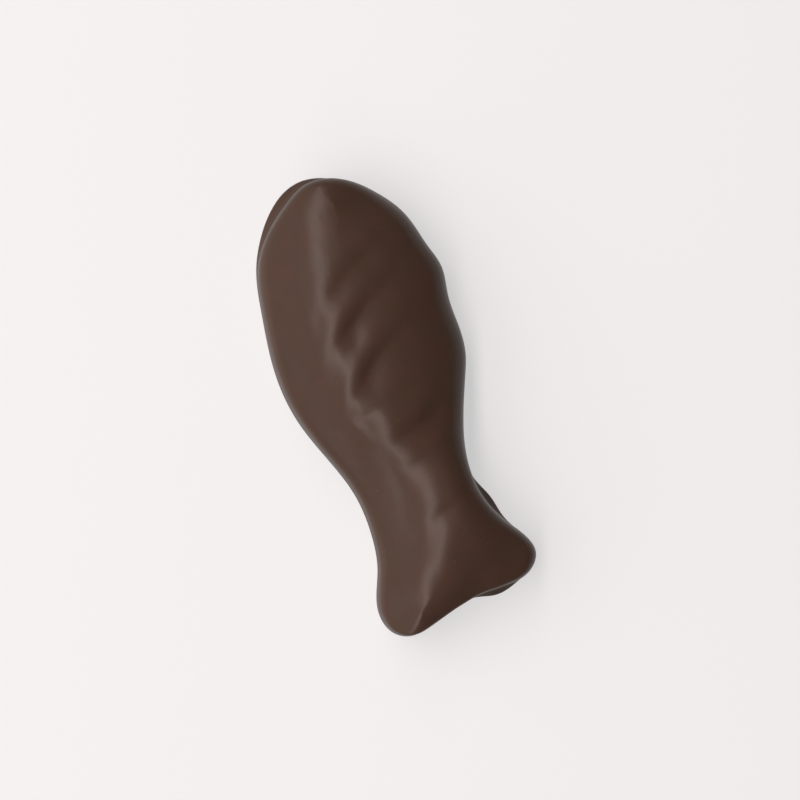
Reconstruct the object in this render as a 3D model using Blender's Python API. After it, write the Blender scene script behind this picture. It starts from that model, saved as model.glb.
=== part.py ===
"""Chocolate fish: a fish-shaped enrobed sweet, lying on its flat underside.

The sweet is one solid. A rounded body stands on a fish-shaped plan outline, its walls
tuck in a little at the bottom, and the coating has drained there into a thin foot of
uneven width. Wind folds run across the back on one side, at a slant.

Frame: origin at the middle of the flat underside, +X towards the head, +Y towards the
smooth flank, -Y towards the folded flank, +Z up. Sizes are in millimetres, "along" is the
distance back from the nose, and "across" is the distance from the keel line towards the
folded flank. They become metres, and X and Y, where the mesh is made.
"""

import math

import bmesh
import bpy
import numpy as np

MM = 0.001

# Plan outline of the body's walls on both sides of the axis, as (along, distance from the
# axis), from the nose to the tip of the tail's longer lobe, which is on the smooth side
SMOOTH_SIDE = [
    (2.1, 3.4),
    (4.3, 6.9),
    (8.2, 11.8),
    (14.6, 16.9),
    (26.0, 20.0),
    (41.0, 21.8),
    (53.0, 20.6),
    (65.0, 16.5),
    (74.5, 13.6),
    (84.5, 13.1),
    (93.0, 14.6),
    (102.5, 17.7),
    (107.7, 16.0),
]
FOLDED_SIDE = [
    (2.3, 7.4),
    (8.2, 14.8),
    (15.6, 19.8),
    (24.0, 22.3),
    (30.0, 23.8),
    (37.0, 22.9),
    (45.0, 22.9),
    (51.0, 22.3),
    (55.0, 20.9),
    (64.0, 17.1),
    (73.0, 14.4),
    (83.0, 14.3),
    (91.0, 17.4),
    (97.0, 21.2),
    (101.2, 22.1),
    (104.9, 19.3),
    (106.1, 13.0),
    (106.0, 7.0),
    (107.0, 0.0),
    (108.4, -5.6),
]
NOSE_ALONG = 1.0
TIP_ALONG = 109.6
TIP_ACROSS = -11.6
NECK_ALONG = 84.0

# Keel line, the crest that both flanks rise to, as (along, across)
KEEL = [
    (8.4, 4.0),
    (19.0, 0.0),
    (29.0, -2.2),
    (38.0, -3.0),
    (48.0, -3.0),
    (56.0, -2.2),
    (62.0, 0.0),
    (70.0, 4.2),
    (78.0, 6.6),
    (86.0, 6.4),
    (92.0, 4.2),
    (97.0, 0.4),
    (102.0, -4.8),
    (105.4, -8.8),
]

# Height of the crest, and how far the flanks' gentle slopes fall from it, as (along, value)
CREST_HEIGHT = [(8.4, 17.8), (20.0, 19.0), (32.0, 19.4), (48.0, 19.1), (80.0, 16.8), (105.4, 15.3)]
SMOOTH_FALL = [(8.4, 5.0), (20.0, 6.6), (40.0, 7.5), (60.0, 8.0), (78.0, 7.8), (94.0, 6.8), (105.4, 4.2)]
FOLDED_FALL = [(8.4, 5.0), (20.0, 4.9), (40.0, 7.0), (60.0, 7.6), (78.0, 7.4), (90.0, 6.0), (105.4, 4.2)]
SLOPE_EASE = 9.0  # flanks not much wider than this fall less
# How far from the keel each flank bends before its slope runs straight, as (along, value)
SMOOTH_BEND = [(8.4, 12.0), (20.0, 10.5), (44.0, 10.0), (58.0, 8.0), (74.0, 8.5), (94.0, 8.5), (105.4, 5.0)]
FOLDED_BEND = [(8.4, 12.0), (20.0, 20.0), (80.0, 20.0), (90.0, 13.0), (98.0, 8.0), (105.4, 5.0)]
# 1 for a flank that bends evenly from the keel, more for one that starts flatter, as (along, value)
SMOOTH_POWER = [(8.4, 1.15), (20.0, 1.0), (105.4, 1.0)]
FOLDED_POWER = [(8.4, 1.15), (30.0, 1.1), (50.0, 1.15), (70.0, 1.15), (86.0, 1.0), (105.4, 1.0)]

# Shoulder between slope and wall: the greater the power, the tighter it is
SMOOTH_SHOULDER = 38.0
FOLDED_SHOULDER = 16.0
NOSE_SHOULDER = 20.0
TAIL_SHOULDER = 50.0
NOSE_REACH = 0.12  # shares of a side's spokes over which the shoulder changes at the ends
TAIL_REACH = 0.30

# Wall and foot
WALL_LEVEL = 4.8  # height below which the walls stand upright
WALL_TUCK = 0.5  # how far the walls draw in above the foot
TUCK_LEVEL = 3.3
TUCK_HALFWAY = 0.3  # share of the tuck that is left halfway up to the wall's level
FOOT_EDGE = 0.60  # thickness of the foot at its rim
FOOT_ROUNDING = 0.45  # share of that thickness that stands upright
FOOT_TOP = 0.88  # share of the foot's width that its top reaches
FOOT_FLARE = 1.2  # 1 for a foot that widens evenly below the wall, 2 for mostly at the floor
FOOT_FLATNESS = 1.45  # 1 for a foot that slopes evenly up to the wall, 2 for a flat top
# Wider puddles of the foot, as (along, across, reach, extra width)
PUDDLES = [
    (86.0, 14.8, 6.0, 1.8),
    (106.5, 10.5, 5.5, 2.0),
    (3.0, -6.5, 11.0, 2.3),
    (109.5, -11.5, 5.0, 0.8),
]

# Wind folds: each sinks steeply on its side towards the head and rises gently behind.
# As (along of the steep side's middle at the axis, slant, bend, then beside the keel: where
# its deep part starts, where it is full and where it has its depth on the flank, then depth
# near the crest, depth on the flank, reach of the steep side, reach of the gentle side)
FOLDS = [
    (24.2, 0.60, 0.010, -5.0, 1.0, 11.0, 0.32, 0.22, 2.6, 5.0),
    (33.9, 0.66, 0.011, -4.4, 1.2, 10.0, 0.86, 0.32, 2.6, 6.4),
    (45.3, 0.75, 0.022, -4.8, 1.0, 10.0, 0.86, 0.32, 2.6, 6.4),
    (55.4, 0.24, 0.000, -8.0, -5.0, 3.0, 0.38, 0.05, 1.7, 4.0),
    (64.2, 0.30, -0.008, -6.0, 2.0, 8.0, 0.50, 0.90, 2.4, 5.0),
    (71.3, 0.30, 0.000, -8.0, -4.0, 4.0, 0.24, 0.12, 1.8, 4.0),
    (84.8, 0.30, 0.000, -8.0, -4.0, 4.0, 0.30, 0.15, 2.0, 4.0),
]
FOLD_FAINT_REACH = 5.0  # how far a fold runs on over the crest before its deep part
FOLD_FAINT_SHARE = 0.20  # share of the depth that it has there
FOLD_RIDGE_AHEAD = 5.0  # and the ridge there that it drops from: its distance, reach and share
FOLD_RIDGE_REACH = 3.2
FOLD_RIDGE_SHARE = 0.80
FOLD_FADE_START = 9.0  # beside the keel: where the folds begin to fade out
FOLD_FADE_END = 18.0
FOLD_LOWEST = 10.0  # height below which there are no folds
FOLD_FULL_HEIGHT = 14.0

# Mesh
SPOKES_EACH_SIDE = 110
DOME_RINGS = 18
RING_CROWDING = 2.2  # above 1, the rings crowd towards the shoulder
NECK_SHARE = 0.66  # share of the spokes that are ahead of the neck
FILLET_RINGS = 4
OUTLINE_SAMPLES = 60  # points between two of the outline's points


def smooth_step(low, high, value):
    """0 below low, 1 above high, and an even curve between them."""
    t = np.clip((value - low) / (high - low), 0.0, 1.0)
    return t * t * (3.0 - 2.0 * t)


def along_table(table, along):
    """A value that changes smoothly along the fish, from a table of (along, value)."""
    place, value = np.asarray(table, float).T
    slope = np.gradient(value, place)
    slope[[0, -1]] = 0.0
    along = np.clip(along, place[0], place[-1])
    low = np.clip(np.searchsorted(place, along, side="right") - 1, 0, len(place) - 2)
    span = place[low + 1] - place[low]
    t = (along - place[low]) / span
    return (
        value[low] * (1.0 + 2.0 * t) * (1.0 - t) ** 2
        + value[low + 1] * (3.0 - 2.0 * t) * t**2
        + slope[low] * span * t * (1.0 - t) ** 2
        - slope[low + 1] * span * t**2 * (1.0 - t)
    )


def closed_spline(points, samples):
    """A closed cubic curve with even curvature through the points, as (parameter, x, y) rows."""
    points = np.asarray(points, float)
    count = len(points)
    after = np.roll(points, -1, axis=0)
    chord = np.linalg.norm(after - points, axis=1)
    before = np.roll(chord, 1)
    system = np.zeros((count, count))
    right = np.zeros((count, 2))
    for i in range(count):
        system[i, i - 1] += before[i]
        system[i, i] += 2.0 * (before[i] + chord[i])
        system[i, (i + 1) % count] += chord[i]
        step_out = (after[i] - points[i]) / chord[i]
        step_in = (points[i] - points[i - 1]) / before[i]
        right[i] = 6.0 * (step_out - step_in)
    bend = np.linalg.solve(system, right)
    bend_after = np.roll(bend, -1, axis=0)
    rows = []
    for i in range(count):
        t = np.arange(samples) / samples
        u = 1.0 - t
        span = chord[i] ** 2 / 6.0
        curve = (
            u[:, None] * points[i]
            + t[:, None] * after[i]
            + span * ((u**3 - u)[:, None] * bend[i] + (t**3 - t)[:, None] * bend_after[i])
        )
        rows.append(np.column_stack([i + t, curve]))
    return np.vstack(rows)


def spaced(curve, count):
    """count + 1 points along one side's outline, the same distance apart on each side of the neck."""
    steps = np.linalg.norm(np.diff(curve, axis=0), axis=1)
    travelled = np.concatenate([[0.0], np.cumsum(steps)])
    neck = travelled[np.argmax(curve[:, 0] >= NECK_ALONG)]
    before = round(count * NECK_SHARE)
    wanted = np.concatenate(
        [
            np.linspace(0.0, neck, before, endpoint=False),
            np.linspace(neck, travelled[-1], count + 1 - before),
        ]
    )
    return np.column_stack([np.interp(wanted, travelled, curve[:, k]) for k in range(2)])


def plan_outline(count):
    """The wall's outline on each side, nose to tail tip: two arrays of (along, across) points."""
    nose = [(NOSE_ALONG, 0.0)]
    tip = [(TIP_ALONG, TIP_ACROSS)]
    smooth = [(along, -away) for along, away in reversed(SMOOTH_SIDE)]
    rows = closed_spline(nose + FOLDED_SIDE + tip + smooth, OUTLINE_SAMPLES)
    tip_at = len(FOLDED_SIDE) + 1
    first = rows[rows[:, 0] <= tip_at, 1:]
    second = np.vstack([rows[rows[:, 0] >= tip_at, 1:], rows[:1, 1:]])[::-1]
    return spaced(second, count), spaced(first, count)


def outward(side, sign):
    """Unit normals of a side's outline, pointing out of the fish."""
    run = np.gradient(side, axis=0)
    run[0] = (0.0, 1.0 * sign)
    run[-1] = (0.0, -1.0 * sign)
    run /= np.linalg.norm(run, axis=1)[:, None]
    return np.column_stack([-run[:, 1] * sign, run[:, 0] * sign])


def foot_width(side):
    """Width of the foot beside each point of an outline."""
    width = np.zeros(len(side))
    for along, across, reach, extra in PUDDLES:
        gap = np.hypot(side[:, 0] - along, side[:, 1] - across)
        width += extra * np.exp(-((gap / reach) ** 2))
    return width


def fold_relief(along, across):
    """How far the coating's surface sinks into the wind folds."""
    beside = across - along_table(KEEL, along)
    fade = 1.0 - smooth_step(FOLD_FADE_START, FOLD_FADE_END, beside)
    sink = np.zeros_like(along)
    for fold in FOLDS:
        station, slant, bend, start, full, end, crest_depth, flank_depth, steep_reach, gentle_reach = fold
        bottom = station + steep_reach * math.sqrt(0.5) - slant * across + bend * across**2
        gap = along - bottom
        reach = np.where(gap < 0.0, steep_reach, gentle_reach)
        depth = crest_depth + (flank_depth - crest_depth) * smooth_step(full, end, beside)
        faint = FOLD_FAINT_SHARE * smooth_step(start - FOLD_FAINT_REACH, start, beside)
        deep = (1.0 - FOLD_FAINT_SHARE) * smooth_step(start, full, beside)
        ridge = FOLD_RIDGE_SHARE * np.exp(-(((gap + FOLD_RIDGE_AHEAD) / FOLD_RIDGE_REACH) ** 2))
        sink += depth * ((faint + deep) * np.exp(-((gap / reach) ** 2)) - faint * ridge)
    return sink * fade


def lower_rings():
    """The rings below the wall, as (share of foot width, share of tuck, height)."""
    rings = [(1.0, 0.0, 0.0), (1.0, 0.0, FOOT_ROUNDING * FOOT_EDGE), (FOOT_TOP, 0.0, FOOT_EDGE)]
    for k in range(1, FILLET_RINGS + 1):
        t = k / FILLET_RINGS
        level = FOOT_EDGE + (TUCK_LEVEL - FOOT_EDGE) * t**FOOT_FLATNESS
        rings.append((FOOT_TOP * (1.0 - t) ** FOOT_FLARE, t * t, level))
    rings.append((0.0, TUCK_HALFWAY, 0.5 * (TUCK_LEVEL + WALL_LEVEL)))
    return rings


def slope_share(reach, bend, power):
    """How much of the slope's fall is reached at a share of the way from keel to wall."""
    fallen = np.where(reach < bend, reach**2 / (2.0 * bend), reach - 0.5 * bend)
    in_all = np.where(bend > 1.0, 1.0 / (2.0 * bend), 1.0 - 0.5 * bend)
    return (fallen / in_all) ** power


def side_rings(side, sign, keel, shape, dome_rings):
    """Points of one flank: an array of rings by spokes by (along, across, height)."""
    normal = outward(side, sign)
    foot = foot_width(side)
    slope_fall, slope_bend, slope_power, shoulder = shape
    fall = along_table(slope_fall, keel[:, 0])
    round_power = along_table(slope_power, keel[:, 0])
    place_share = np.linspace(0.0, 1.0, len(side))
    near_nose = smooth_step(NOSE_REACH, 0.0, place_share)
    near_tail = smooth_step(1.0 - TAIL_REACH, 1.0, place_share)
    power = shoulder + (NOSE_SHOULDER - shoulder) * near_nose + (TAIL_SHOULDER - shoulder) * near_tail
    width = np.linalg.norm(side - keel, axis=1)
    bend = along_table(slope_bend, keel[:, 0]) / width
    fall = fall * (1.0 - np.exp(-width / SLOPE_EASE))
    rings = []
    for foot_share, tuck_share, level in lower_rings():
        offset = foot * foot_share - WALL_TUCK * tuck_share
        place = side + normal * offset[:, None]
        rings.append(np.column_stack([place, np.full(len(side), level)]))
    for k in range(dome_rings):
        reach = 1.0 - (k / dome_rings) ** RING_CROWDING
        place = keel + (side - keel) * reach
        roof = along_table(CREST_HEIGHT, place[:, 0]) - fall * slope_share(reach, bend, round_power)
        height = WALL_LEVEL + (roof - WALL_LEVEL) * np.sqrt(1.0 - reach**power)
        rings.append(np.column_stack([place, height]))
    return np.array(rings)


def fish_mesh(name, spokes, dome_rings):
    """The whole sweet as a mesh: both flanks joined at the keel, the underside filled."""
    smooth, folded = plan_outline(spokes)
    share = np.clip(0.5 * (smooth[:, 0] + folded[:, 0]) / TIP_ALONG, 0.0, 1.0)
    keel_along = KEEL[0][0] + share * (KEEL[-1][0] - KEEL[0][0])
    keel = np.column_stack([keel_along, along_table(KEEL, keel_along)])
    flanks = [
        side_rings(smooth, -1.0, keel, (SMOOTH_FALL, SMOOTH_BEND, SMOOTH_POWER, SMOOTH_SHOULDER), dome_rings),
        side_rings(folded, 1.0, keel, (FOLDED_FALL, FOLDED_BEND, FOLDED_POWER, FOLDED_SHOULDER), dome_rings),
    ]
    crest = along_table(CREST_HEIGHT, keel[:, 0])
    bm = bmesh.new()

    def vertex(point):
        return bm.verts.new((-point[0] * MM, -point[1] * MM, point[2] * MM))

    top = [vertex((*keel[i], crest[i])) for i in range(spokes + 1)]
    grids = []
    grids.append([[vertex(point) for point in ring] for ring in flanks[0]])
    grids.append([[vertex(point) for point in ring[1:-1]] for ring in flanks[1]])
    for ring_smooth, ring_folded in zip(*grids):
        ring_folded.insert(0, ring_smooth[0])
        ring_folded.append(ring_smooth[-1])
    for number, grid in enumerate(grids):
        grid.append(top)
        for lower, upper in zip(grid[:-1], grid[1:]):
            for i in range(spokes):
                corners = [lower[i], lower[i + 1], upper[i + 1], upper[i]]
                if number == 1:
                    corners.reverse()
                bm.faces.new(corners)
    rim = grids[0][0] + grids[1][0][-2:0:-1]
    bm.faces.new(rim)
    bmesh.ops.recalc_face_normals(bm, faces=bm.faces)
    press_folds(bm)
    centre_on_origin(bm)
    mesh = bpy.data.meshes.new(name)
    bm.to_mesh(mesh)
    bm.free()
    return mesh


def press_folds(bm):
    """Sinks the wind folds into the surface along its normals, less and less down the walls."""
    bm.normal_update()
    verts = list(bm.verts)
    place = np.array([v.co[:] for v in verts]) / MM
    normal = np.array([v.normal[:] for v in verts])
    hold = smooth_step(FOLD_LOWEST, FOLD_FULL_HEIGHT, place[:, 2])
    sink = fold_relief(-place[:, 0], -place[:, 1]) * hold
    moved = (place - normal * sink[:, None]) * MM
    for vert, point in zip(verts, moved):
        vert.co = point


def centre_on_origin(bm):
    """Moves the middle of the plan's box to the origin."""
    place = np.array([v.co[:] for v in bm.verts])
    middle = 0.5 * (place.min(0) + place.max(0))
    for vert in bm.verts:
        vert.co.x -= middle[0]
        vert.co.y -= middle[1]


def chocolate():
    """The coating's finish."""
    material = bpy.data.materials.new("chocolate")
    material.use_nodes = True
    shader = material.node_tree.nodes["Principled BSDF"]
    shader.inputs["Base Color"].default_value = (0.082, 0.047, 0.032, 1.0)
    shader.inputs["Roughness"].default_value = 0.4
    shader.inputs["Metallic"].default_value = 0.0
    return material


def main():
    for obj in list(bpy.data.objects):
        bpy.data.objects.remove(obj)
    mesh = fish_mesh("chocolate_fish", SPOKES_EACH_SIDE, DOME_RINGS)
    mesh.materials.append(chocolate())
    mesh.shade_smooth()
    fish = bpy.data.objects.new("chocolate_fish", mesh)
    bpy.context.scene.collection.objects.link(fish)


main()
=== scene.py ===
"""Looks of the chocolate fish: its coating at full detail, a pale floor, soft light and the camera.

The coating is built by the same rules as the solid that it replaces, on a finer mesh, with
the small unevenness of set chocolate added. Frame: +X towards the head, +Y towards the
smooth flank, -Y towards the folded flank, +Z up, metres. Inside the shape's rules, sizes
are in millimetres, "along" is the distance back from the nose, and "across" is the
distance from the fish's straight axis towards the folded flank.
"""

import math

import bmesh
import bpy
import numpy as np
from mathutils import Matrix, Vector, noise

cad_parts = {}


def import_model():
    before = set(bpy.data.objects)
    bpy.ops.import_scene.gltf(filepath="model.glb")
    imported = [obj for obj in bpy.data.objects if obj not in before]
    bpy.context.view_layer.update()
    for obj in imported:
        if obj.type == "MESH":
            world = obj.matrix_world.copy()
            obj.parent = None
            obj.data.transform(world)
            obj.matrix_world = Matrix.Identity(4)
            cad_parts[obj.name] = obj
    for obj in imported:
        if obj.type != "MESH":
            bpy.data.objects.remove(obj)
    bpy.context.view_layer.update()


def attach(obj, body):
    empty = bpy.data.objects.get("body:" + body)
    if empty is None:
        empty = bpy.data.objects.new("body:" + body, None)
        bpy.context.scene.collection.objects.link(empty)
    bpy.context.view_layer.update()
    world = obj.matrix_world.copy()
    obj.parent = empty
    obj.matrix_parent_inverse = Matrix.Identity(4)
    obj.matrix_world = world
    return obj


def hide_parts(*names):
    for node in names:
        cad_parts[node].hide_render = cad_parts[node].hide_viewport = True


MM = 0.001

# Plan outline of the body's walls on both sides of the axis, as (along, distance from the
# axis), from the nose to the tip of the tail's longer lobe, which is on the smooth side
SMOOTH_SIDE = [
    (2.1, 3.4),
    (4.3, 6.9),
    (8.2, 11.8),
    (14.6, 16.9),
    (26.0, 20.0),
    (41.0, 21.8),
    (53.0, 20.6),
    (65.0, 16.5),
    (74.5, 13.6),
    (84.5, 13.1),
    (93.0, 14.6),
    (102.5, 17.7),
    (107.7, 16.0),
]
FOLDED_SIDE = [
    (2.3, 7.4),
    (8.2, 14.8),
    (15.6, 19.8),
    (24.0, 22.3),
    (30.0, 23.8),
    (37.0, 22.9),
    (45.0, 22.9),
    (51.0, 22.3),
    (55.0, 20.9),
    (64.0, 17.1),
    (73.0, 14.4),
    (83.0, 14.3),
    (91.0, 17.4),
    (97.0, 21.2),
    (101.2, 22.1),
    (104.9, 19.3),
    (106.1, 13.0),
    (106.0, 7.0),
    (107.0, 0.0),
    (108.4, -5.6),
]
NOSE_ALONG = 1.0
TIP_ALONG = 109.6
TIP_ACROSS = -11.6
NECK_ALONG = 84.0

# Keel line, the crest that both flanks rise to, as (along, across)
KEEL = [
    (8.4, 4.0),
    (19.0, 0.0),
    (29.0, -2.2),
    (38.0, -3.0),
    (48.0, -3.0),
    (56.0, -2.2),
    (62.0, 0.0),
    (70.0, 4.2),
    (78.0, 6.6),
    (86.0, 6.4),
    (92.0, 4.2),
    (97.0, 0.4),
    (102.0, -4.8),
    (105.4, -8.8),
]

# Height of the crest, and how far the flanks' gentle slopes fall from it, as (along, value)
CREST_HEIGHT = [(8.4, 17.8), (20.0, 19.0), (32.0, 19.4), (48.0, 19.1), (80.0, 16.8), (105.4, 15.3)]
SMOOTH_FALL = [(8.4, 5.0), (20.0, 6.6), (40.0, 7.5), (60.0, 8.0), (78.0, 7.8), (94.0, 6.8), (105.4, 4.2)]
FOLDED_FALL = [(8.4, 5.0), (20.0, 4.9), (40.0, 7.0), (60.0, 7.6), (78.0, 7.4), (90.0, 6.0), (105.4, 4.2)]
SLOPE_EASE = 9.0  # flanks not much wider than this fall less
# How far from the keel each flank bends before its slope runs straight, as (along, value)
SMOOTH_BEND = [(8.4, 12.0), (20.0, 10.5), (44.0, 10.0), (58.0, 8.0), (74.0, 8.5), (94.0, 8.5), (105.4, 5.0)]
FOLDED_BEND = [(8.4, 12.0), (20.0, 20.0), (80.0, 20.0), (90.0, 13.0), (98.0, 8.0), (105.4, 5.0)]
# 1 for a flank that bends evenly from the keel, more for one that starts flatter, as (along, value)
SMOOTH_POWER = [(8.4, 1.15), (20.0, 1.0), (105.4, 1.0)]
FOLDED_POWER = [(8.4, 1.15), (30.0, 1.1), (50.0, 1.15), (70.0, 1.15), (86.0, 1.0), (105.4, 1.0)]

# Shoulder between slope and wall: the greater the power, the tighter it is
SMOOTH_SHOULDER = 38.0
FOLDED_SHOULDER = 16.0
NOSE_SHOULDER = 20.0
TAIL_SHOULDER = 50.0
NOSE_REACH = 0.12  # shares of a side's spokes over which the shoulder changes at the ends
TAIL_REACH = 0.30

# Wall and foot
WALL_LEVEL = 4.8  # height below which the walls stand upright
WALL_TUCK = 0.5  # how far the walls draw in above the foot
TUCK_LEVEL = 3.3
TUCK_HALFWAY = 0.3  # share of the tuck that is left halfway up to the wall's level
FOOT_EDGE = 0.60  # thickness of the foot at its rim
FOOT_ROUNDING = 0.45  # share of that thickness that stands upright
FOOT_TOP = 0.88  # share of the foot's width that its top reaches
FOOT_FLARE = 1.2  # 1 for a foot that widens evenly below the wall, 2 for mostly at the floor
FOOT_FLATNESS = 1.45  # 1 for a foot that slopes evenly up to the wall, 2 for a flat top
# Wider puddles of the foot, as (along, across, reach, extra width)
PUDDLES = [
    (86.0, 14.8, 6.0, 1.8),
    (106.5, 10.5, 5.5, 2.0),
    (3.0, -6.5, 11.0, 2.3),
    (109.5, -11.5, 5.0, 0.8),
]

# Wind folds: each sinks steeply on its side towards the head and rises gently behind.
# As (along of the steep side's middle at the axis, slant, bend, then beside the keel: where
# its deep part starts, where it is full and where it has its depth on the flank, then depth
# near the crest, depth on the flank, reach of the steep side, reach of the gentle side)
FOLDS = [
    (24.2, 0.60, 0.010, -5.0, 1.0, 11.0, 0.32, 0.22, 2.6, 5.0),
    (33.9, 0.66, 0.011, -4.4, 1.2, 10.0, 0.86, 0.32, 2.6, 6.4),
    (45.3, 0.75, 0.022, -4.8, 1.0, 10.0, 0.86, 0.32, 2.6, 6.4),
    (55.4, 0.24, 0.000, -8.0, -5.0, 3.0, 0.38, 0.05, 1.7, 4.0),
    (64.2, 0.30, -0.008, -6.0, 2.0, 8.0, 0.50, 0.90, 2.4, 5.0),
    (71.3, 0.30, 0.000, -8.0, -4.0, 4.0, 0.24, 0.12, 1.8, 4.0),
    (84.8, 0.30, 0.000, -8.0, -4.0, 4.0, 0.30, 0.15, 2.0, 4.0),
]
FOLD_FAINT_REACH = 5.0  # how far a fold runs on over the crest before its deep part
FOLD_FAINT_SHARE = 0.20  # share of the depth that it has there
FOLD_RIDGE_AHEAD = 5.0  # and the ridge there that it drops from: its distance, reach and share
FOLD_RIDGE_REACH = 3.2
FOLD_RIDGE_SHARE = 0.80
FOLD_FADE_START = 9.0  # beside the keel: where the folds begin to fade out
FOLD_FADE_END = 18.0
FOLD_LOWEST = 10.0  # height below which there are no folds
FOLD_FULL_HEIGHT = 14.0

# Mesh by the shape's rules
RING_CROWDING = 2.2  # above 1, the rings crowd towards the shoulder
NECK_SHARE = 0.66  # share of the spokes that are ahead of the neck
FILLET_RINGS = 4
OUTLINE_SAMPLES = 60  # points between two of the outline's points

# Fineness of the coating's mesh
COATING_SPOKES = 420
COATING_RINGS = 64

# Evening of the mesh around the crest's two ends, where the spokes crowd
END_REACH = 4.5
END_PASSES = 40
END_EASE = 0.5  # how far each pass moves a point towards the middle of its neighbours

# Unevenness of the set coating, as (length along the fish, width, depth) in millimetres
WAVES = [(30.0, 6.5, 0.16), (10.0, 4.0, 0.05), (4.0, 3.0, 0.012)]
UNEVEN_FROM = 0.5  # height at which the unevenness sets in
UNEVEN_FULL = 3.0

# Shallow hollows of the smooth flank, as (x, y, length along the fish, width, depth)
HOLLOWS = [
    (31.0, 14.2, 10.0, 2.8, 0.13),
    (14.0, 16.2, 7.0, 2.4, 0.09),
    (-38.5, 13.6, 8.0, 2.4, 0.09),
    (-14.0, 11.5, 9.0, 2.8, 0.06),
]

# Coating's material. A pattern is (features for each millimetre, detail, roughness), and a
# range is the part of the pattern's values over which it changes
CHOCOLATE = (0.0826, 0.0475, 0.0325, 1.0)
REDDER_CHOCOLATE = (0.0888, 0.0472, 0.0328, 1.0)
CLOUD_PATTERN = (0.16, 3.0, 0.55)
CLOUD_RANGE = (0.48, 0.62)
SPECK_COLOUR = (0.22, 0.17, 0.14, 1.0)
SPECK_CELLS = 0.28  # cells for each millimetre, with a speck in each
SPECK_EDGE = (0.020, 0.034)
SHEEN_PATTERN = (0.35, 4.0, 0.6)
SHEEN_RANGE = (0.3, 0.7)
SHEEN_ROUGHNESS = (0.29, 0.34)
GRAIN_PATTERN = (2.2, 5.0, 0.65)
GRAIN_STRENGTH = 0.45
GRAIN_HEIGHT = 0.03
REFRACTION = 1.40

# Camera: nearly straight above, the fish's axis turned in the picture
PICTURE_SIDE = 800  # picture elements
SCALE = 0.2366 * MM  # size of one picture element at the object
AXIS_TURN = math.radians(19.66)
TILT = math.radians(4.0)
CAMERA_DISTANCE = 0.72
SENSOR_WIDTH = 36.0
TARGET_HEIGHT = 0.006
TARGET_RIGHT = 13.2  # picture elements from the origin to the picture's middle
TARGET_UP = -2.3

# Strip: a long softbox at the picture's left, its long side along the picture's height
STRIP_WIDTH = 0.26
STRIP_LENGTH = 3.6
STRIP_DISTANCE = 1.0
STRIP_ZENITH = math.radians(22.0)
STRIP_POWER = 11.8
STRIP_COLOUR = (1.0, 0.88, 0.85)

# Fill: a broad softbox lower at the left, kept out of reflections
FILL_WIDTH = 0.9
FILL_LENGTH = 1.8
FILL_DISTANCE = 1.2
FILL_ZENITH = math.radians(62.0)
FILL_POWER = 7.6
FILL_COLOUR = (1.0, 0.94, 0.915)

# Surroundings, from the picture's right (-1) to its left (1), as the steps by which they
# brighten: (where a step starts, where it ends, how much it adds)
SURROUNDINGS = [(-1.2, -1.0, 0.04), (-0.60, 0.30, 0.08), (0.25, 0.50, 0.12), (0.80, 0.97, 0.48)]
HORIZON = 0.43
HORIZON_TOP = 0.22  # height of a direction of length 1 at which the horizon's light ends

# Floor
FLOOR_REACH = 3.0
FLOOR_COLOUR = (0.45, 0.45, 0.45, 1.0)
FLOOR_GLOW_COLOUR = (1.0, 1.0, 1.0, 1.0)
FLOOR_GLOW = 0.55
FLOOR_ROUGHNESS = 0.9


def smooth_step(low, high, value):
    """0 below low, 1 above high, and an even curve between them."""
    t = np.clip((value - low) / (high - low), 0.0, 1.0)
    return t * t * (3.0 - 2.0 * t)


def along_table(table, along):
    """A value that changes smoothly along the fish, from a table of (along, value)."""
    place, value = np.asarray(table, float).T
    slope = np.gradient(value, place)
    slope[[0, -1]] = 0.0
    along = np.clip(along, place[0], place[-1])
    low = np.clip(np.searchsorted(place, along, side="right") - 1, 0, len(place) - 2)
    span = place[low + 1] - place[low]
    t = (along - place[low]) / span
    return (
        value[low] * (1.0 + 2.0 * t) * (1.0 - t) ** 2
        + value[low + 1] * (3.0 - 2.0 * t) * t**2
        + slope[low] * span * t * (1.0 - t) ** 2
        - slope[low + 1] * span * t**2 * (1.0 - t)
    )


def closed_spline(points, samples):
    """A closed cubic curve with even curvature through the points, as (parameter, x, y) rows."""
    points = np.asarray(points, float)
    count = len(points)
    after = np.roll(points, -1, axis=0)
    chord = np.linalg.norm(after - points, axis=1)
    before = np.roll(chord, 1)
    system = np.zeros((count, count))
    right = np.zeros((count, 2))
    for i in range(count):
        system[i, i - 1] += before[i]
        system[i, i] += 2.0 * (before[i] + chord[i])
        system[i, (i + 1) % count] += chord[i]
        step_out = (after[i] - points[i]) / chord[i]
        step_in = (points[i] - points[i - 1]) / before[i]
        right[i] = 6.0 * (step_out - step_in)
    bend = np.linalg.solve(system, right)
    bend_after = np.roll(bend, -1, axis=0)
    rows = []
    for i in range(count):
        t = np.arange(samples) / samples
        u = 1.0 - t
        span = chord[i] ** 2 / 6.0
        curve = (
            u[:, None] * points[i]
            + t[:, None] * after[i]
            + span * ((u**3 - u)[:, None] * bend[i] + (t**3 - t)[:, None] * bend_after[i])
        )
        rows.append(np.column_stack([i + t, curve]))
    return np.vstack(rows)


def spaced(curve, count):
    """count + 1 points along one side's outline, the same distance apart on each side of the neck."""
    steps = np.linalg.norm(np.diff(curve, axis=0), axis=1)
    travelled = np.concatenate([[0.0], np.cumsum(steps)])
    neck = travelled[np.argmax(curve[:, 0] >= NECK_ALONG)]
    before = round(count * NECK_SHARE)
    wanted = np.concatenate(
        [
            np.linspace(0.0, neck, before, endpoint=False),
            np.linspace(neck, travelled[-1], count + 1 - before),
        ]
    )
    return np.column_stack([np.interp(wanted, travelled, curve[:, k]) for k in range(2)])


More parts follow.
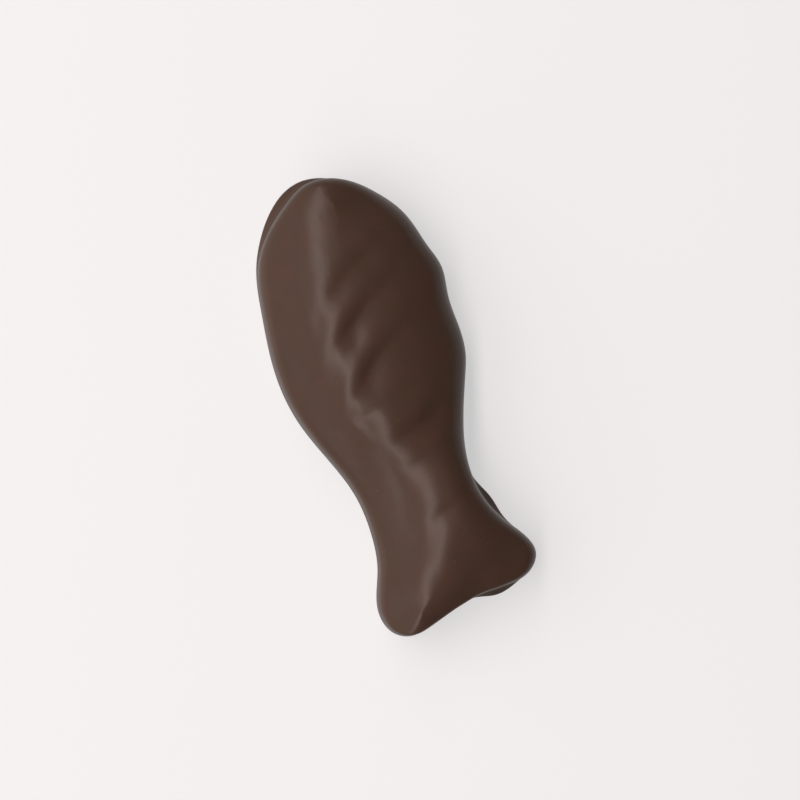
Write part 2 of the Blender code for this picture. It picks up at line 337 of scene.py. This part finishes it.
def plan_outline(count):
    """The wall's outline on each side, nose to tail tip: two arrays of (along, across) points."""
    nose = [(NOSE_ALONG, 0.0)]
    tip = [(TIP_ALONG, TIP_ACROSS)]
    smooth = [(along, -away) for along, away in reversed(SMOOTH_SIDE)]
    rows = closed_spline(nose + FOLDED_SIDE + tip + smooth, OUTLINE_SAMPLES)
    tip_at = len(FOLDED_SIDE) + 1
    first = rows[rows[:, 0] <= tip_at, 1:]
    second = np.vstack([rows[rows[:, 0] >= tip_at, 1:], rows[:1, 1:]])[::-1]
    return spaced(second, count), spaced(first, count)


def outward(side, sign):
    """Unit normals of a side's outline, pointing out of the fish."""
    run = np.gradient(side, axis=0)
    run[0] = (0.0, sign)
    run[-1] = (0.0, -sign)
    run /= np.linalg.norm(run, axis=1)[:, None]
    return np.column_stack([-run[:, 1] * sign, run[:, 0] * sign])


def foot_width(side):
    """Width of the foot beside each point of an outline."""
    width = np.zeros(len(side))
    for along, across, reach, extra in PUDDLES:
        gap = np.hypot(side[:, 0] - along, side[:, 1] - across)
        width += extra * np.exp(-((gap / reach) ** 2))
    return width


def fold_relief(along, across):
    """How far the coating's surface sinks into the wind folds."""
    beside = across - along_table(KEEL, along)
    fade = 1.0 - smooth_step(FOLD_FADE_START, FOLD_FADE_END, beside)
    sink = np.zeros_like(along)
    for fold in FOLDS:
        station, slant, bend, start, full, end, crest_depth, flank_depth, steep_reach, gentle_reach = fold
        bottom = station + steep_reach * math.sqrt(0.5) - slant * across + bend * across**2
        gap = along - bottom
        reach = np.where(gap < 0.0, steep_reach, gentle_reach)
        depth = crest_depth + (flank_depth - crest_depth) * smooth_step(full, end, beside)
        faint = FOLD_FAINT_SHARE * smooth_step(start - FOLD_FAINT_REACH, start, beside)
        deep = (1.0 - FOLD_FAINT_SHARE) * smooth_step(start, full, beside)
        ridge = FOLD_RIDGE_SHARE * np.exp(-(((gap + FOLD_RIDGE_AHEAD) / FOLD_RIDGE_REACH) ** 2))
        sink += depth * ((faint + deep) * np.exp(-((gap / reach) ** 2)) - faint * ridge)
    return sink * fade


def lower_rings():
    """The rings below the wall, as (share of foot width, share of tuck, height)."""
    rings = [(1.0, 0.0, 0.0), (1.0, 0.0, FOOT_ROUNDING * FOOT_EDGE), (FOOT_TOP, 0.0, FOOT_EDGE)]
    for k in range(1, FILLET_RINGS + 1):
        t = k / FILLET_RINGS
        level = FOOT_EDGE + (TUCK_LEVEL - FOOT_EDGE) * t**FOOT_FLATNESS
        rings.append((FOOT_TOP * (1.0 - t) ** FOOT_FLARE, t * t, level))
    rings.append((0.0, TUCK_HALFWAY, 0.5 * (TUCK_LEVEL + WALL_LEVEL)))
    return rings


def slope_share(reach, bend, power):
    """How much of the slope's fall is reached at a share of the way from keel to wall."""
    fallen = np.where(reach < bend, reach**2 / (2.0 * bend), reach - 0.5 * bend)
    in_all = np.where(bend > 1.0, 1.0 / (2.0 * bend), 1.0 - 0.5 * bend)
    return (fallen / in_all) ** power


def side_rings(side, sign, keel, shape, dome_rings):
    """Points of one flank: an array of rings by spokes by (along, across, height)."""
    normal = outward(side, sign)
    foot = foot_width(side)
    slope_fall, slope_bend, slope_power, shoulder = shape
    fall = along_table(slope_fall, keel[:, 0])
    round_power = along_table(slope_power, keel[:, 0])
    place_share = np.linspace(0.0, 1.0, len(side))
    near_nose = smooth_step(NOSE_REACH, 0.0, place_share)
    near_tail = smooth_step(1.0 - TAIL_REACH, 1.0, place_share)
    power = shoulder + (NOSE_SHOULDER - shoulder) * near_nose + (TAIL_SHOULDER - shoulder) * near_tail
    width = np.linalg.norm(side - keel, axis=1)
    bend = along_table(slope_bend, keel[:, 0]) / width
    fall = fall * (1.0 - np.exp(-width / SLOPE_EASE))
    rings = []
    for foot_share, tuck_share, level in lower_rings():
        offset = foot * foot_share - WALL_TUCK * tuck_share
        place = side + normal * offset[:, None]
        rings.append(np.column_stack([place, np.full(len(side), level)]))
    for k in range(dome_rings):
        reach = 1.0 - (k / dome_rings) ** RING_CROWDING
        place = keel + (side - keel) * reach
        roof = along_table(CREST_HEIGHT, place[:, 0]) - fall * slope_share(reach, bend, round_power)
        height = WALL_LEVEL + (roof - WALL_LEVEL) * np.sqrt(1.0 - reach**power)
        rings.append(np.column_stack([place, height]))
    return np.array(rings)


def fish_mesh(name, spokes, dome_rings):
    """The whole sweet as a mesh: both flanks joined at the keel, the underside filled."""
    smooth, folded = plan_outline(spokes)
    share = np.clip(0.5 * (smooth[:, 0] + folded[:, 0]) / TIP_ALONG, 0.0, 1.0)
    keel_along = KEEL[0][0] + share * (KEEL[-1][0] - KEEL[0][0])
    keel = np.column_stack([keel_along, along_table(KEEL, keel_along)])
    smooth_shape = (SMOOTH_FALL, SMOOTH_BEND, SMOOTH_POWER, SMOOTH_SHOULDER)
    folded_shape = (FOLDED_FALL, FOLDED_BEND, FOLDED_POWER, FOLDED_SHOULDER)
    flanks = [
        side_rings(smooth, -1.0, keel, smooth_shape, dome_rings),
        side_rings(folded, 1.0, keel, folded_shape, dome_rings),
    ]
    crest = along_table(CREST_HEIGHT, keel[:, 0])
    bm = bmesh.new()

    def vertex(point):
        return bm.verts.new((-point[0] * MM, -point[1] * MM, point[2] * MM))

    top = [vertex((*keel[i], crest[i])) for i in range(spokes + 1)]
    smooth_grid = [[vertex(point) for point in ring] for ring in flanks[0]]
    folded_grid = [[vertex(point) for point in ring[1:-1]] for ring in flanks[1]]
    for ring_smooth, ring_folded in zip(smooth_grid, folded_grid):
        ring_folded.insert(0, ring_smooth[0])
        ring_folded.append(ring_smooth[-1])
    for grid in (smooth_grid, folded_grid):
        grid.append(top)
        for lower, upper in zip(grid[:-1], grid[1:]):
            for i in range(spokes):
                corners = [lower[i], lower[i + 1], upper[i + 1], upper[i]]
                if grid is folded_grid:
                    corners.reverse()
                bm.faces.new(corners)
    rim = smooth_grid[0] + folded_grid[0][-2:0:-1]
    bm.faces.new(rim)
    bmesh.ops.recalc_face_normals(bm, faces=bm.faces)
    press_folds(bm)
    centre_on_origin(bm)
    mesh = bpy.data.meshes.new(name)
    bm.to_mesh(mesh)
    bm.free()
    return mesh


def press_folds(bm):
    """Sinks the wind folds into the surface along its normals, less and less down the walls."""
    bm.normal_update()
    verts = list(bm.verts)
    place = np.array([v.co[:] for v in verts]) / MM
    normal = np.array([v.normal[:] for v in verts])
    hold = smooth_step(FOLD_LOWEST, FOLD_FULL_HEIGHT, place[:, 2])
    sink = fold_relief(-place[:, 0], -place[:, 1]) * hold
    moved = (place - normal * sink[:, None]) * MM
    for vert, point in zip(verts, moved):
        vert.co = point


def centre_on_origin(bm):
    """Moves the middle of the plan's box to the origin."""
    place = np.array([v.co[:] for v in bm.verts])
    middle = 0.5 * (place.min(0) + place.max(0))
    for vert in bm.verts:
        vert.co.x -= middle[0]
        vert.co.y -= middle[1]


def even_crest_ends(mesh):
    """Evens the spacing of the mesh around the ends of the crest, whose points are its first."""
    bm = bmesh.new()
    bm.from_mesh(mesh)
    bm.verts.ensure_lookup_table()
    for end in (0, COATING_SPOKES):
        middle = bm.verts[end].co.copy()
        near = [v for v in bm.verts if (v.co - middle).length < END_REACH * MM]
        for _ in range(END_PASSES):
            bmesh.ops.smooth_vert(
                bm, verts=near, factor=END_EASE, use_axis_x=True, use_axis_y=True, use_axis_z=True
            )
    bm.to_mesh(mesh)
    bm.free()


def set_coating(mesh):
    """Gives the coating the low waves and hollows of chocolate that set while it ran."""
    place = np.array([v.co[:] for v in mesh.vertices]) / MM
    normal = np.array([v.normal[:] for v in mesh.vertices])
    lift = np.zeros(len(place))
    for length, width, depth in WAVES:
        steps = place / (length, width, width)
        lift += depth * np.array([noise.noise(Vector(step)) for step in steps])
    for x, y, length, width, depth in HOLLOWS:
        gap_along = (place[:, 0] - x) / length
        gap_across = (place[:, 1] - y) / width
        lift -= depth * np.exp(-(gap_along**2) - gap_across**2)
    hold = smooth_step(UNEVEN_FROM, UNEVEN_FULL, place[:, 2])
    place += normal * (lift * hold)[:, None]
    mesh.vertices.foreach_set("co", (place * MM).ravel())
    mesh.update()


def noise_node(nodes, links, coordinate, pattern):
    """A noise texture on the given coordinate."""
    scale, detail, roughness = pattern
    node = nodes.new("ShaderNodeTexNoise")
    node.inputs["Scale"].default_value = scale
    node.inputs["Detail"].default_value = detail
    node.inputs["Roughness"].default_value = roughness
    links.new(coordinate, node.inputs["Vector"])
    return node.outputs["Fac"]


def map_range(nodes, links, value, taken, given):
    """A value mapped from one range to another, held at both ends."""
    node = nodes.new("ShaderNodeMapRange")
    node.inputs["From Min"].default_value, node.inputs["From Max"].default_value = taken
    node.inputs["To Min"].default_value, node.inputs["To Max"].default_value = given
    links.new(value, node.inputs["Value"])
    return node.outputs["Result"]


def combine(nodes, links, operation, first, second):
    """Two values combined by an operation."""
    node = nodes.new("ShaderNodeMath")
    node.operation = operation
    links.new(first, node.inputs[0])
    links.new(second, node.inputs[1])
    return node.outputs[0]


def mix_colours(nodes, links, share, first, second):
    """Two colours mixed by a share; each is a value or a socket."""
    node = nodes.new("ShaderNodeMix")
    node.data_type = "RGBA"
    links.new(share, node.inputs[0])
    for socket, colour in ((node.inputs[6], first), (node.inputs[7], second)):
        if isinstance(colour, tuple):
            socket.default_value = colour
        else:
            links.new(colour, socket)
    return node.outputs[2]


def chocolate():
    """Set milk chocolate: brown with faint redder clouds, a few pale specks and a satin sheen."""
    material = bpy.data.materials.new("chocolate_coating")
    material.use_nodes = True
    nodes, links = material.node_tree.nodes, material.node_tree.links
    shader = nodes["Principled BSDF"]
    shader.inputs["IOR"].default_value = REFRACTION
    millimetres = nodes.new("ShaderNodeVectorMath")
    millimetres.operation = "SCALE"
    millimetres.inputs["Scale"].default_value = 1.0 / MM
    links.new(nodes.new("ShaderNodeTexCoord").outputs["Object"], millimetres.inputs[0])
    place = millimetres.outputs[0]
    clouds = noise_node(nodes, links, place, CLOUD_PATTERN)
    clouds = map_range(nodes, links, clouds, CLOUD_RANGE, (0.0, 1.0))
    colour = mix_colours(nodes, links, clouds, CHOCOLATE, REDDER_CHOCOLATE)
    cells = nodes.new("ShaderNodeTexVoronoi")
    cells.inputs["Scale"].default_value = SPECK_CELLS
    links.new(place, cells.inputs["Vector"])
    specks = map_range(nodes, links, cells.outputs["Distance"], SPECK_EDGE, (1.0, 0.0))
    colour = mix_colours(nodes, links, specks, colour, SPECK_COLOUR)
    links.new(colour, shader.inputs["Base Color"])
    sheen = noise_node(nodes, links, place, SHEEN_PATTERN)
    sheen = map_range(nodes, links, sheen, SHEEN_RANGE, SHEEN_ROUGHNESS)
    links.new(sheen, shader.inputs["Roughness"])
    bump = nodes.new("ShaderNodeBump")
    bump.inputs["Strength"].default_value = GRAIN_STRENGTH
    bump.inputs["Distance"].default_value = GRAIN_HEIGHT * MM
    links.new(noise_node(nodes, links, place, GRAIN_PATTERN), bump.inputs["Height"])
    links.new(bump.outputs["Normal"], shader.inputs["Normal"])
    return material


def picture_axes():
    """The picture's right and up directions in the frame, and the one towards the camera."""
    right = Vector((-math.sin(AXIS_TURN), -math.cos(AXIS_TURN), 0.0))
    up = Vector((math.cos(AXIS_TURN), -math.sin(AXIS_TURN), 0.0))
    tilt = Matrix.Rotation(-TILT, 3, "X")
    right, up = tilt @ right, tilt @ up
    return right, up, right.cross(up)


def add_object(name, data):
    """A new object in the scene that shows the data."""
    made = bpy.data.objects.new(name, data)
    bpy.context.scene.collection.objects.link(made)
    return made


def add_camera(right, up, back):
    """The camera, framed as the photograph is."""
    data = bpy.data.cameras.new("camera")
    data.sensor_width = SENSOR_WIDTH
    data.lens = SENSOR_WIDTH * CAMERA_DISTANCE / (PICTURE_SIDE * SCALE)
    camera = add_object("camera", data)
    target = Vector((0.0, 0.0, TARGET_HEIGHT)) + (TARGET_RIGHT * right + TARGET_UP * up) * SCALE
    turn = Matrix((right, up, back)).transposed().to_4x4()
    camera.matrix_world = Matrix.Translation(target + back * CAMERA_DISTANCE) @ turn
    bpy.context.scene.camera = camera


def level(direction):
    """A direction laid flat, one unit long."""
    return Vector((direction.x, direction.y, 0.0)).normalized()


def add_softbox(name, left, up, zenith, distance, size, power, colour):
    """A softbox at the picture's left that faces the fish."""
    data = bpy.data.lights.new(name, "AREA")
    data.shape = "RECTANGLE"
    data.size, data.size_y = size
    data.energy = power
    data.color = colour
    towards = left * math.sin(zenith) + Vector((0.0, 0.0, math.cos(zenith)))
    across = up.cross(towards).normalized()
    lengthwise = towards.cross(across)
    turn = Matrix((across, lengthwise, towards)).transposed().to_4x4()
    softbox = add_object(name, data)
    softbox.matrix_world = Matrix.Translation(towards * distance) @ turn
    return softbox


def add_softboxes(left, up):
    """The strip that draws the highlight, and the broad fill."""
    strip_size = (STRIP_WIDTH, STRIP_LENGTH)
    add_softbox("strip", left, up, STRIP_ZENITH, STRIP_DISTANCE, strip_size, STRIP_POWER, STRIP_COLOUR)
    fill_size = (FILL_WIDTH, FILL_LENGTH)
    fill = add_softbox("fill", left, up, FILL_ZENITH, FILL_DISTANCE, fill_size, FILL_POWER, FILL_COLOUR)
    fill.visible_glossy = False


def add_surroundings(left):
    """Light from all round: bright low at the left, pale along the horizon, dim elsewhere."""
    world = bpy.data.worlds.new("surroundings")
    bpy.context.scene.world = world
    world.use_nodes = True
    nodes, links = world.node_tree.nodes, world.node_tree.links
    direction = nodes.new("ShaderNodeTexCoord").outputs["Generated"]
    leftward = nodes.new("ShaderNodeVectorMath")
    leftward.operation = "DOT_PRODUCT"
    leftward.inputs[1].default_value = left
    links.new(direction, leftward.inputs[0])
    height = nodes.new("ShaderNodeSeparateXYZ")
    links.new(direction, height.inputs[0])
    light = None
    for start, end, added in SURROUNDINGS:
        step = map_range(nodes, links, leftward.outputs["Value"], (start, end), (0.0, added))
        step.node.interpolation_type = "SMOOTHSTEP"
        light = step if light is None else combine(nodes, links, "ADD", light, step)
    horizon = map_range(nodes, links, height.outputs["Z"], (0.0, HORIZON_TOP), (HORIZON, 0.0))
    horizon.node.interpolation_type = "SMOOTHSTEP"
    links.new(combine(nodes, links, "MAXIMUM", light, horizon), nodes["Background"].inputs["Color"])


def add_floor():
    """A wide, plain, pale floor."""
    data = bpy.data.meshes.new("floor")
    signs = [(-1, -1), (1, -1), (1, 1), (-1, 1)]
    corners = [(x * FLOOR_REACH, y * FLOOR_REACH, 0.0) for x, y in signs]
    data.from_pydata(corners, [], [(0, 1, 2, 3)])
    material = bpy.data.materials.new("floor")
    material.use_nodes = True
    shader = material.node_tree.nodes["Principled BSDF"]
    shader.inputs["Base Color"].default_value = FLOOR_COLOUR
    shader.inputs["Emission Color"].default_value = FLOOR_GLOW_COLOUR
    shader.inputs["Emission Strength"].default_value = FLOOR_GLOW
    shader.inputs["Roughness"].default_value = FLOOR_ROUGHNESS
    shader.inputs["Specular IOR Level"].default_value = 0.0
    data.materials.append(material)
    floor = add_object("floor", data)
    floor.visible_glossy = False  # the coating's rim mirrors the dimmer horizon in its place


def add_coating():
    """The fish's coating, in place of the plain solid."""
    mesh = fish_mesh("fish_coating", COATING_SPOKES, COATING_RINGS)
    even_crest_ends(mesh)
    set_coating(mesh)
    mesh.materials.append(chocolate())
    mesh.shade_smooth()
    coating = add_object("fish_coating", mesh)
    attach(coating, "root")
    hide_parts("chocolate_fish")


def main():
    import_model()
    right, up, back = picture_axes()
    add_camera(right, up, back)
    add_softboxes(level(-right), level(up))
    add_surroundings(level(-right))
    add_floor()
    add_coating()
    bpy.context.scene.view_settings.view_transform = "Standard"


main()
